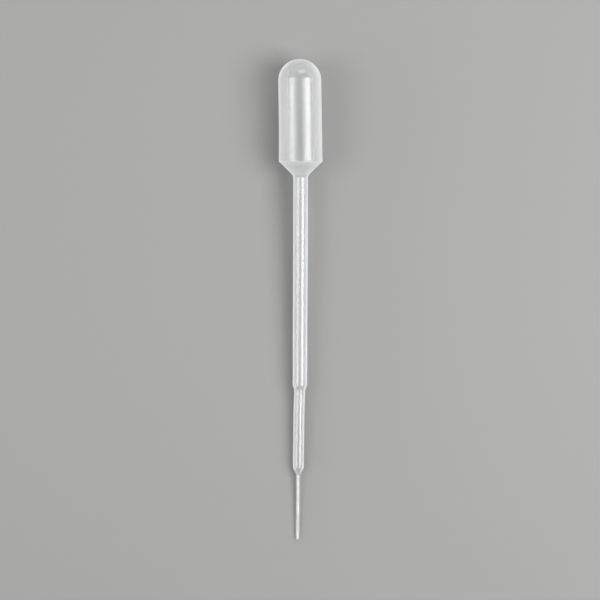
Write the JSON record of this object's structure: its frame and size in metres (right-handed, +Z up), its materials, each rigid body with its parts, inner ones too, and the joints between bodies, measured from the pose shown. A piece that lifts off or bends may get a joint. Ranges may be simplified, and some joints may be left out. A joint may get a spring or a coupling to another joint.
{
  "type": "dropper pipette",
  "caption": "Translucent one-piece dropper pipette with a round squeeze bulb, coned shoulder, stepped stem and fine tip, for drawing up and dropping small amounts of liquid.",
  "frame": {"origin": "on the bench that the pipette lies on, under the middle of its length", "axes": "+Z up from the bench; +Y along the bench from the tip towards the crown of the bulb, over which the axis rises by about 3 degrees; +X across it"},
  "size_m": [0.014, 0.1548, 0.0154],
  "materials": {
    "polyethylene": "satin"
  },
  "bodies": {
    "root": {"pipette": "polyethylene"}
  },
  "joints": []
}
